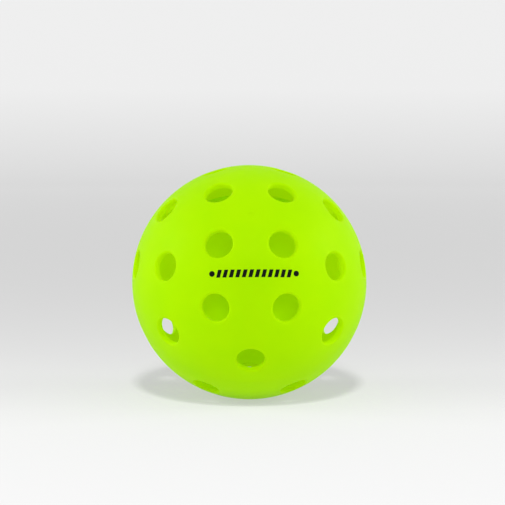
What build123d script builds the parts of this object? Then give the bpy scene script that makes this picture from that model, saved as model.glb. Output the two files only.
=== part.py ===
"""Pickleball ball: two perforated half shells welded at the seam, with a printed mark.

The ball is modelled with its pole on +Z and is then leaned over, so that it rests
on the rim of one of its own holes: that hole looks straight down along -Z.

Origin: the centre of the ball. +Z up, -Y towards the printed side.
"""
import os
from math import asin, cos, degrees, radians, sin, sqrt

from build123d import *

# ---- driving dimensions, millimetres and degrees ----
BALL_DIAMETER = 74.0        # the rules of the game allow 72.9 to 75.4
WALL = 1.9                  # moulded polyethylene wall
HOLE_DIAMETER = 8.5         # all the holes are equal
OUTER_RIM_RADIUS = 0.6      # rounding of a hole's outer edge
INNER_RIM_RADIUS = 0.3      # rounding of a hole's inner edge

# Each half has three rings of holes, at these angles from its pole
POLE_RING = 21.7
MIDDLE_RING = 49.4
SEAM_RING = 74.4

# Rings of the upper half: angle from the pole, number of holes, and the turn of the first
# hole about the pole from the -Y side
UPPER_RINGS = [
    (POLE_RING, 4, 45.0),
    (MIDDLE_RING, 8, 22.5),
    (SEAM_RING, 8, 0.0),
]
# The lower half has the same rings about the other pole, turned so that every hole
# next to the seam faces the middle of a gap
LOWER_RINGS = [
    (180.0 - POLE_RING, 4, 0.0),
    (180.0 - MIDDLE_RING, 8, 0.0),
    (180.0 - SEAM_RING, 8, 22.5),
]
POLE_LEAN = MIDDLE_RING     # brings a hole of the lower half to the very bottom

# Seam: a stepped lap at mid wall, and a bead of melted wall material inside it
LAP_LENGTH = 1.4            # how far the upper half's tongue reaches past the seam
BEAD_WIDTH = 2.4
BEAD_HEIGHT = 0.45

# Printed mark: a row of slanted bars with a round dot at each end
MARK_ELEVATION = 10.2       # direction of the mark's centre above the horizontal
MARK_TURN = 1.6             # and from the -Y side towards +X
BAR_COUNT = 12
BAR_PITCH = 1.93            # measured along the ball
BAR_WIDTH = 1.15
BAR_HEIGHT = 2.3
BAR_SLANT = 15.0            # degrees from upright
DOT_DIAMETER = 1.7
DOT_DISTANCE = 12.8         # from the mark's centre, along the ball
INK_THICKNESS = 0.05

# ---- derived sizes ----
OUTER_R = BALL_DIAMETER / 2
INNER_R = OUTER_R - WALL
LAP_R = OUTER_R - WALL / 2
HOLE_R = HOLE_DIAMETER / 2


def direction(polar, turn):
    """Unit vector at an angle from the pole; turn 0 is the -Y side, 90 the +X side."""
    a = radians(polar)
    t = radians(turn)
    return Vector(sin(a) * sin(t), -sin(a) * cos(t), cos(a))


def on_circle(radius, angle):
    """Point of the section plane, angle in degrees up from the seam."""
    return (radius * cos(radians(angle)), radius * sin(radians(angle)))


def upper_side():
    """All the space of the upper half, with the tongue that reaches past the seam."""
    above = Pos(Z=OUTER_R) * Cylinder(OUTER_R + 1, 2 * OUTER_R)
    tongue = Pos(Z=-LAP_LENGTH / 2) * Cylinder(LAP_R, LAP_LENGTH)
    return above + tongue


def hole_cutter(polar, turn):
    """Cylinder from the ball's centre out through the wall, along a radius."""
    from_centre = (Align.CENTER, Align.CENTER, Align.MIN)
    aim = Plane(origin=(0, 0, 0), z_dir=direction(polar, turn))
    return aim * Cylinder(HOLE_R, OUTER_R + WALL, align=from_centre)


def rim_edges(shell, sphere_r):
    """The circles where the holes meet the sphere of the given radius."""
    reach = sqrt(sphere_r**2 - HOLE_R**2)
    found = []
    for edge in shell.edges().filter_by(GeomType.CIRCLE):
        is_rim = abs(edge.radius - HOLE_R) < 0.01
        if is_rim and abs(edge.arc_center.length - reach) < 0.05:
            found.append(edge)
    return found


def half_shell(blank, rings):
    """Half ball with its rings of holes, every edge of a hole rounded."""
    shell = blank
    for polar, count, first in rings:
        for k in range(count):
            shell = shell - hole_cutter(polar, first + k * 360 / count)
    shell = fillet(rim_edges(shell, OUTER_R), OUTER_RIM_RADIUS)
    return fillet(rim_edges(shell, INNER_R), INNER_RIM_RADIUS)


def weld_bead():
    """Ring of re-set material on the inner wall, over the inner end of the lap."""
    middle = -degrees(asin(LAP_LENGTH / INNER_R))
    half_width = degrees(BEAD_WIDTH / 2 / INNER_R)
    low = on_circle(INNER_R, middle - half_width)
    high = on_circle(INNER_R, middle + half_width)
    with BuildSketch(Plane.XZ) as section:
        with BuildLine():
            ThreePointArc(low, on_circle(INNER_R, middle), high)
            ThreePointArc(high, on_circle(INNER_R - BEAD_HEIGHT, middle), low)
        make_face()
    return revolve(section.sketch, Axis.Z)


def mark_plane(distance):
    """Plane that touches the ball beside the mark's centre, at a distance along it."""
    e = radians(MARK_ELEVATION)
    t = radians(MARK_TURN)
    facing = Vector(cos(e) * sin(t), -cos(e) * cos(t), sin(e))
    right = Vector(cos(t), sin(t), 0)
    a = distance / OUTER_R
    normal = facing * cos(a) + right * sin(a)
    along = right * cos(a) - facing * sin(a)
    return Plane(origin=normal * OUTER_R, x_dir=along, z_dir=normal)


def printed_mark():
    """Thin film of ink that follows the ball: slanted bars between two dots."""
    film = Sphere(OUTER_R + INK_THICKNESS) - Sphere(OUTER_R)
    lean = BAR_HEIGHT / 2 * sin(radians(BAR_SLANT)) / cos(radians(BAR_SLANT))
    low_left = (-lean - BAR_WIDTH / 2, -BAR_HEIGHT / 2)
    low_right = (-lean + BAR_WIDTH / 2, -BAR_HEIGHT / 2)
    high_right = (lean + BAR_WIDTH / 2, BAR_HEIGHT / 2)
    high_left = (lean - BAR_WIDTH / 2, BAR_HEIGHT / 2)
    bar = make_face(Polyline(low_left, low_right, high_right, high_left, close=True))
    dot = Circle(DOT_DIAMETER / 2)

    shapes = []
    for k in range(BAR_COUNT):
        shapes.append((bar, (k - (BAR_COUNT - 1) / 2) * BAR_PITCH))
    shapes.append((dot, -DOT_DISTANCE))
    shapes.append((dot, DOT_DISTANCE))

    pieces = []
    for shape, distance in shapes:
        stamp = extrude(mark_plane(distance) * shape, 0.5, both=True)
        pieces += (stamp & film).solids()
    return Compound(children=pieces)


LEAN = Rot(X=POLE_LEAN)
HOLLOW_BALL = Sphere(OUTER_R) - Sphere(INNER_R)
NODES = {
    "upper_half_shell": LEAN * half_shell(HOLLOW_BALL & upper_side(), UPPER_RINGS),
    "lower_half_shell": LEAN * half_shell(HOLLOW_BALL - upper_side(), LOWER_RINGS),
    "weld_bead": LEAN * weld_bead(),
    "printed_mark": printed_mark(),
}

os.makedirs("parts", exist_ok=True)
for name, shape in NODES.items():
    export_step(shape, f"parts/{name}.step")
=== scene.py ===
"""Looks of the pickleball ball: neon polyethylene shells, weld bead and printed mark, in a
round light tent with a pale floor. Everything is in metres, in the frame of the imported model."""
from math import asin, cos, pi, radians, sin, tan

import bpy
from mathutils import Matrix, Vector


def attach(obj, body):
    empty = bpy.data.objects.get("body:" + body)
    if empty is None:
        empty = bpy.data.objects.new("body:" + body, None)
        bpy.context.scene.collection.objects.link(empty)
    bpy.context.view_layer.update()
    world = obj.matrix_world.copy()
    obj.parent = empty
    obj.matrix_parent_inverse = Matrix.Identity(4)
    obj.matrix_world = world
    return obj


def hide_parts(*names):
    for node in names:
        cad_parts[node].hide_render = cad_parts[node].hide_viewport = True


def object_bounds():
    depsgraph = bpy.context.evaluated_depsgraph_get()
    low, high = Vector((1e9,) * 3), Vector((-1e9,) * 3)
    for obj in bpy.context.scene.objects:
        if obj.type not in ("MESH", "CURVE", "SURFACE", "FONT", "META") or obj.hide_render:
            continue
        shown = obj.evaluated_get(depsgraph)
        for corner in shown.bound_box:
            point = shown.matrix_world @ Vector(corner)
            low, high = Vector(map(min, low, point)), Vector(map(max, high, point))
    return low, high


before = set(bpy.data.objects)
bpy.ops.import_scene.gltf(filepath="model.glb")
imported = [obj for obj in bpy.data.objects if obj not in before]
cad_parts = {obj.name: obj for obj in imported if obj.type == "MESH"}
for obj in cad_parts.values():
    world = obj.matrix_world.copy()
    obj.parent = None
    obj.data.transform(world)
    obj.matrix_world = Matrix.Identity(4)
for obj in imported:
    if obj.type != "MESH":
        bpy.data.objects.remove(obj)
cad_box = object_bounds()

# ---- sizes from the frame ----
BALL_LOW, BALL_HIGH = cad_box
RADIUS = (BALL_HIGH.x - BALL_LOW.x) / 2
FLOOR_Z = BALL_LOW.z

# ---- weld ----
POLE_LEAN = 49.4            # degrees; the seam is square to the leaning pole
INNER_RADIUS = 0.0351
LAP_LENGTH = 0.0014         # how far the lap joint reaches past the seam
JOINT_MARGIN = 0.0001
BEAD_HALF_WIDTH = 0.0012
BEAD_HEIGHT = 0.00045
BEAD_ROUNDING = 0.7         # below 1 the bead's section is fuller than a parabola
BEAD_FULLNESS = 0.86        # mean share of its full width and height
BEAD_WAVES = [(0.06, 7, 0.6), (0.05, 19, 2.1), (0.03, 43, 4.0)]  # share, count, start
BEAD_STRAY = (0.00008, 11, 1.0)     # how far its middle strays sideways, count, start
EDGE_SINK = 0.00002         # the bead's edges end this far inside the wall
FOOT_SINK = 0.00003         # and so does its foot, which is hidden there
FOOT_SHARE = 0.6            # half the foot's width as a share of half the bead's
BEAD_STEPS = 540            # around the seam
BEAD_POINTS = 11            # across the bead
FOOT_POINTS = 2

# ---- plastic: noise scales are in features per metre ----
CLOUD_SCALE = 95.0          # faint clouds of colour
WAVE_SCALE = 210.0          # shallow moulding waves
WAVE_DEPTH = 0.00012
SKIN_SCALE = 1500.0         # fine skin left by the mould
SKIN_DEPTH = 0.00002
GLOSS_SCALE = 420.0         # patches of more and less gloss
GLOSS_SWING = 0.07          # change of roughness to each side
PLASTIC_SHINE = 0.04
SHINE_TINT = (0.80, 1.0, 0.25, 1)

# ---- ink ----
INK_THIN = (0.0015, 0.003, 0.002, 1)
INK_FULL = (0.005, 0.010, 0.003, 1)
INK_COVER_SCALE = 2600.0
INK_GLOSS_SCALE = 1800.0
INK_SKIN_SCALE = 3000.0
INK_SKIN_DEPTH = 0.00001
INK_ROUGHNESS = (0.42, 0.62)
INK_SHINE = 0.08

# ---- light tent ----
TENT_RINGS = (0.1, 0.2, 0.35, 0.55, 0.8, 1.05)  # radii of the rings of the flat floor
TENT_FLOOR = 1.3            # radius of the flat floor
TENT_CURVE = 0.5            # radius of the turn from the floor to the wall
TENT_CURVE_STEPS = 16
TENT_TOP = 1.0
TENT_SIDES = 128
PAPER_WHITE = 0.25
PAPER_ROUGHNESS = 0.9
PAPER_GLOW = 0.22           # everywhere; this glow and the glows below are painted light on the paper, not a lamp
FRONT_GLOW = 0.22           # painted light added beside the ball, and more towards the camera
FRONT_REACH = -0.15         # along Y, for e times as much of it
FRONT_MOST = 0.26
FAR_GLOW = 0.19             # painted light added from FAR_START, where there is none, out to FAR_END
FAR_START = 0.05
FAR_END = 1.2
WALL_GLOW = 0.155           # painted light added from the floor, where there is none, up to WALL_RISE
WALL_RISE = 0.125
MOST_GLOW = 0.53
SKY_BRIGHTNESS = 0.59

# ---- camera ----
CAMERA_DISTANCE = 15.5 * RADIUS
CAMERA_ELEVATION = 6.1
CAMERA_TURN = -0.8          # the camera stands this far to the left of straight ahead
BALL_SHARE = 0.464          # the ball's width as a share of the picture's
BALL_DROP = 0.0587          # how far the ball's centre is below the picture's centre
BALL_LEFT = 0.0063          # and left of it
SENSOR_WIDTH = 36.0         # millimetres, as the lens is
NEAREST_SEEN = 0.01

# Slots of a fused piece
SKIN = 0
JOINT = 1

# Sockets of a Mix node that mixes colours
FIRST_COLOUR = 6
SECOND_COLOUR = 7
MIXED_COLOUR = 2


# ---- materials ----
class Nodes:
    """A new material and short ways to add nodes to it."""

    def __init__(self, name):
        self.material = bpy.data.materials.new(name)
        self.material.use_nodes = True
        self.tree = self.material.node_tree
        self.tree.nodes.clear()
        self.out = self.tree.nodes.new("ShaderNodeOutputMaterial")
        self.place = self.add("ShaderNodeTexCoord").outputs["Object"]

    def add(self, kind, settings=(), **inputs):
        """A new node; an underscore in an input's name stands for a space."""
        made = self.tree.nodes.new(kind)
        for key, value in dict(settings).items():
            setattr(made, key, value)
        for key, value in inputs.items():
            self.put(made.inputs[key.replace("_", " ")], value)
        return made

    def put(self, socket, value):
        """Link an output to the socket, or set the socket to a plain value."""
        if isinstance(value, bpy.types.NodeSocket):
            self.tree.links.new(value, socket)
        else:
            socket.default_value = value

    def show(self, shader):
        """Make the shader node the material's surface."""
        self.put(self.out.inputs["Surface"], shader.outputs[0])

    def math(self, operation, *values):
        made = self.add("ShaderNodeMath", {"operation": operation})
        for socket, value in zip(made.inputs, values):
            self.put(socket, value)
        return made.outputs[0]

    def noise(self, scale, detail, roughness):
        made = self.add("ShaderNodeTexNoise", Vector=self.place, Scale=scale,
                        Detail=detail, Roughness=roughness)
        return made.outputs["Fac"]

    def remap(self, value, low, high, new_low, new_high):
        made = self.add("ShaderNodeMapRange", Value=value)
        made.inputs["From Min"].default_value = low
        made.inputs["From Max"].default_value = high
        made.inputs["To Min"].default_value = new_low
        made.inputs["To Max"].default_value = new_high
        return made.outputs["Result"]

    def blend(self, amount, first, second):
        made = self.add("ShaderNodeMix", {"data_type": "RGBA"})
        self.put(made.inputs["Factor"], amount)
        self.put(made.inputs[FIRST_COLOUR], first)
        self.put(made.inputs[SECOND_COLOUR], second)
        return made.outputs[MIXED_COLOUR]

    def bump(self, height, distance, strength, under=None):
        """Normal of a relief, on top of another relief's normal if one is given."""
        made = self.add("ShaderNodeBump", Height=height, Distance=distance, Strength=strength)
        if under:
            self.put(made.inputs["Normal"], under)
        return made.outputs["Normal"]


def polyethylene(name, light, deep, passing, through, roughness, peel):
    """Neon polyethylene that lets part of the light through. `light` and `deep` are the two
    colours of its faint clouds, `through` is the share of the light that passes each surface,
    and `passing` is the colour that this share takes. `peel` deepens the fine skin."""
    n = Nodes(name)
    clouds = n.remap(n.noise(CLOUD_SCALE, detail=4.0, roughness=0.55), 0.35, 0.65, 0.0, 1.0)
    colour = n.blend(clouds, light, deep)

    skin = n.noise(SKIN_SCALE, detail=2.0, roughness=0.6)
    waves = n.noise(WAVE_SCALE, detail=2.0, roughness=0.4)
    normal = n.bump(waves, WAVE_DEPTH, strength=0.5)
    normal = n.bump(skin, SKIN_DEPTH * peel, strength=0.6, under=normal)
    gloss = n.noise(GLOSS_SCALE, detail=4.0, roughness=0.6)
    rough = n.remap(gloss, 0.3, 0.7, roughness - GLOSS_SWING, roughness + GLOSS_SWING)

    face = n.add("ShaderNodeBsdfPrincipled", Normal=normal, Roughness=rough)
    n.put(face.inputs["Base Color"], colour)
    face.inputs["Specular IOR Level"].default_value = PLASTIC_SHINE
    face.inputs["Specular Tint"].default_value = SHINE_TINT
    glow = n.add("ShaderNodeBsdfTranslucent", Color=passing, Normal=normal)
    both = n.add("ShaderNodeMixShader")
    both.inputs["Fac"].default_value = through
    n.put(both.inputs[1], face.outputs[0])
    n.put(both.inputs[2], glow.outputs[0])
    n.show(both)
    return n.material


def ink():
    """Pad-printed black ink: a thin film, a little uneven, with the wall's faint skin."""
    n = Nodes("black_pad_print_ink")
    cover = n.noise(INK_COVER_SCALE, detail=3.0, roughness=0.6)
    colour = n.blend(n.remap(cover, 0.35, 0.75, 0.0, 1.0), INK_THIN, INK_FULL)
    gloss = n.noise(INK_GLOSS_SCALE, detail=3.0, roughness=0.6)
    rough = n.remap(gloss, 0.3, 0.7, *INK_ROUGHNESS)
    skin = n.noise(INK_SKIN_SCALE, detail=2.0, roughness=0.5)
    normal = n.bump(skin, INK_SKIN_DEPTH, strength=0.5)
    face = n.add("ShaderNodeBsdfPrincipled", Normal=normal, Roughness=rough)
    n.put(face.inputs["Base Color"], colour)
    face.inputs["Specular IOR Level"].default_value = INK_SHINE
    n.show(face)
    return n.material


def fused_joint():
    """The faces that melted into each other inside the wall: light passes them freely."""
    n = Nodes("fused_joint")
    n.show(n.add("ShaderNodeBsdfTransparent"))
    return n.material


def tent_paper():
    """Pale paper with painted light: it glows with no lamp behind it, brightest in front of the
    ball and up the wall.
    """
    n = Nodes("tent_paper")
    x, y, z = n.add("ShaderNodeSeparateXYZ", Vector=n.place).outputs
    growth = n.math("EXPONENT", n.math("DIVIDE", y, FRONT_REACH))
    front = n.math("MINIMUM", n.math("MULTIPLY", FRONT_GLOW, growth), FRONT_MOST)
    out = n.math("SQRT", n.math("ADD", n.math("MULTIPLY", x, x), n.math("MULTIPLY", y, y)))
    far = n.remap(out, FAR_START, FAR_END, 0.0, FAR_GLOW)
    wall = n.remap(z, FLOOR_Z, FLOOR_Z + WALL_RISE, 0.0, WALL_GLOW)
    glow = n.math("ADD", n.math("ADD", front, far), n.math("ADD", wall, PAPER_GLOW))

    face = n.add("ShaderNodeBsdfPrincipled", Roughness=PAPER_ROUGHNESS)
    face.inputs["Base Color"].default_value = (PAPER_WHITE, PAPER_WHITE, PAPER_WHITE, 1)
    face.inputs["Specular IOR Level"].default_value = 0.0
    face.inputs["Emission Color"].default_value = (1, 1, 1, 1)
    # painted light: the paper's glow stands in for the light on the floor and wall
    n.put(face.inputs["Emission Strength"], n.math("MINIMUM", glow, MOST_GLOW))
    n.show(face)
    return n.material


def dress(piece, made):
    """Give the piece this material and no other."""
    piece.data.materials.clear()
    piece.data.materials.append(made)


def place_mesh(mesh):
    """A new object in the scene that shows the mesh and has its name."""
    made = bpy.data.objects.new(mesh.name, mesh)
    bpy.context.collection.objects.link(made)
    return made


shell_plastic = polyethylene("neon_polyethylene", light=(0.510, 0.933, 0.0, 1),
                             deep=(0.476, 0.917, 0.0, 1), passing=(0.95, 1.0, 0.0, 1),
                             through=0.44, roughness=0.42, peel=1.0)
weld_plastic = polyethylene("weld_polyethylene", light=(0.53, 0.97, 0.0, 1),
                            deep=(0.49, 0.95, 0.0, 1), passing=(0.97, 1.0, 0.0, 1),
                            through=0.50, roughness=0.26, peel=0.3)
joint = fused_joint()
dress(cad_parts["printed_mark"], ink())


# ---- half shells ----
def fused_shell(node):
    """The half shell, with the faces of its lap joint told apart from its skin."""
    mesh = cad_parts[node].data.copy()
    mesh.name = "fused_" + node
    mesh.materials.clear()
    mesh.materials.append(shell_plastic)
    mesh.materials.append(joint)
    pole = Matrix.Rotation(radians(POLE_LEAN), 3, "X") @ Vector((0, 0, 1))
    for face in mesh.polygons:
        inside_wall = INNER_RADIUS + JOINT_MARGIN < face.center.length < RADIUS - JOINT_MARGIN
        in_lap = -LAP_LENGTH - JOINT_MARGIN < face.center.dot(pole) < JOINT_MARGIN
        face.material_index = JOINT if inside_wall and in_lap else SKIN
    made = place_mesh(mesh)
    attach(made, "root")
    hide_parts(node)


fused_shell("upper_half_shell")
fused_shell("lower_half_shell")


# ---- weld bead ----
def bead_ripple(t):
    """How full the bead is at an angle around the seam: it set in slow, uneven waves."""
    full = BEAD_FULLNESS
    for share, count, start in BEAD_WAVES:
        full += share * sin(count * t + start)
    return full


def natural_weld_bead():
    """Closed ring of re-set plastic on the inner wall, with its foot just inside the wall."""
    middle = -asin(LAP_LENGTH / INNER_RADIUS)
    lean = Matrix.Rotation(radians(POLE_LEAN), 4, "X")
    stray, stray_count, stray_start = BEAD_STRAY
    section = []            # place across the bead, height above its edges, distance it sinks
    for j in range(BEAD_POINTS):
        u = -1 + 2 * j / (BEAD_POINTS - 1)
        section.append((u, BEAD_HEIGHT * (1 - u * u) ** BEAD_ROUNDING, EDGE_SINK))
    section.append((FOOT_SHARE, 0.0, FOOT_SINK))
    section.append((-FOOT_SHARE, 0.0, FOOT_SINK))

    verts = []
    for k in range(BEAD_STEPS):
        t = 2 * pi * k / BEAD_STEPS
        full = bead_ripple(t)
        shift = stray * sin(stray_count * t + stray_start)
        for u, height, sink in section:
            along = middle + (u * BEAD_HALF_WIDTH * full + shift) / INNER_RADIUS
            r = INNER_RADIUS + sink - height * full
            verts.append(lean @ Vector((r * cos(along) * cos(t), r * cos(along) * sin(t),
                                        r * sin(along))))
    across = BEAD_POINTS + FOOT_POINTS
    faces = []
    for k in range(BEAD_STEPS):
        here = k * across
        there = (k + 1) % BEAD_STEPS * across
        for j in range(across):
            i = (j + 1) % across
            faces.append((here + j, here + i, there + i, there + j))
    mesh = bpy.data.meshes.new("natural_weld_bead")
    mesh.from_pydata(verts, [], faces)
    mesh.shade_smooth()
    mesh.materials.append(weld_plastic)
    mesh.materials.append(joint)
    for number, face in enumerate(mesh.polygons):
        face.material_index = SKIN if number % across < BEAD_POINTS - 1 else JOINT
    return place_mesh(mesh)


bead = natural_weld_bead()
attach(bead, "root")
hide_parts("weld_bead")


# ---- light tent ----
def tent():
    """Round floor that turns up into a wall all the way round, open at the top."""
    profile = []
    for r in TENT_RINGS + (TENT_FLOOR,):
        profile.append((r, 0.0))
    for k in range(1, TENT_CURVE_STEPS + 1):
        a = pi / 2 * k / TENT_CURVE_STEPS
        profile.append((TENT_FLOOR + TENT_CURVE * sin(a), TENT_CURVE * (1 - cos(a))))
    profile.append((TENT_FLOOR + TENT_CURVE, TENT_TOP))

    verts = [(0, 0, FLOOR_Z)]
    for r, z in profile:
        for k in range(TENT_SIDES):
            t = 2 * pi * k / TENT_SIDES
            verts.append((r * cos(t), r * sin(t), FLOOR_Z + z))
    faces = []
    for k in range(TENT_SIDES):
        after = (k + 1) % TENT_SIDES
        faces.append((0, 1 + k, 1 + after))
        for ring in range(len(profile) - 1):
            low = 1 + ring * TENT_SIDES
            high = low + TENT_SIDES
            faces.append((low + k, high + k, high + after, low + after))
    mesh = bpy.data.meshes.new("tent")
    mesh.from_pydata(verts, [], faces)
    mesh.shade_smooth()
    return place_mesh(mesh)


backdrop = tent()
dress(backdrop, tent_paper())

# ---- light ----
world = bpy.data.worlds.new("studio")
bpy.context.scene.world = world
world.use_nodes = True
sky = world.node_tree.nodes["Background"]
sky.inputs["Color"].default_value = (1, 1, 1, 1)
sky.inputs["Strength"].default_value = SKY_BRIGHTNESS


def stand(name, data, azimuth, elevation, distance):
    """A light or camera at a distance from the ball, facing it. Azimuth 0 is the camera's
    side, 90 is +X."""
    a = radians(azimuth)
    e = radians(elevation)
    away = Vector((sin(a) * cos(e), -cos(a) * cos(e), sin(e)))
    made = bpy.data.objects.new(name, data)
    bpy.context.collection.objects.link(made)
    made.location = away * distance
    made.rotation_mode = "QUATERNION"
    made.rotation_quaternion = (-away).to_track_quat("-Z", "Y")
    return made


def softbox(name, azimuth, elevation, distance, size, brightness, only_on=None):
    """Square area light that faces the ball. `brightness` is what a white card at the ball,
    facing the light, would show. With `only_on`, the light falls on that piece alone."""
    data = bpy.data.lights.new(name, "AREA")
    data.shape = "SQUARE"
    data.size = size
    data.energy = brightness * pi**2 * distance**2
    made = stand(name, data, azimuth, elevation, distance)
    if only_on:
        lit = bpy.data.collections.new("lit_by_" + name)
        lit.objects.link(only_on)
        made.light_linking.receiver_collection = lit


softbox("key", azimuth=0, elevation=42, distance=1.6, size=0.12, brightness=0.215)
softbox("floor_light", azimuth=0, elevation=50, distance=3.5, size=0.35, brightness=0.85,
        only_on=backdrop)
softbox("fill_left", azimuth=-90, elevation=25, distance=1.4, size=0.5, brightness=0.34)
softbox("fill_right", azimuth=90, elevation=25, distance=1.4, size=0.5, brightness=0.34)

# ---- camera ----
lens = bpy.data.cameras.new("camera")
half_picture = tan(asin(RADIUS / CAMERA_DISTANCE)) / BALL_SHARE
lens.sensor_width = SENSOR_WIDTH
lens.lens = SENSOR_WIDTH / 2 / half_picture
lens.shift_x = BALL_LEFT
lens.shift_y = BALL_DROP
lens.clip_start = NEAREST_SEEN
camera = stand("camera", lens, CAMERA_TURN, CAMERA_ELEVATION, CAMERA_DISTANCE)
bpy.context.scene.camera = camera
bpy.context.scene.view_settings.view_transform = "Standard"
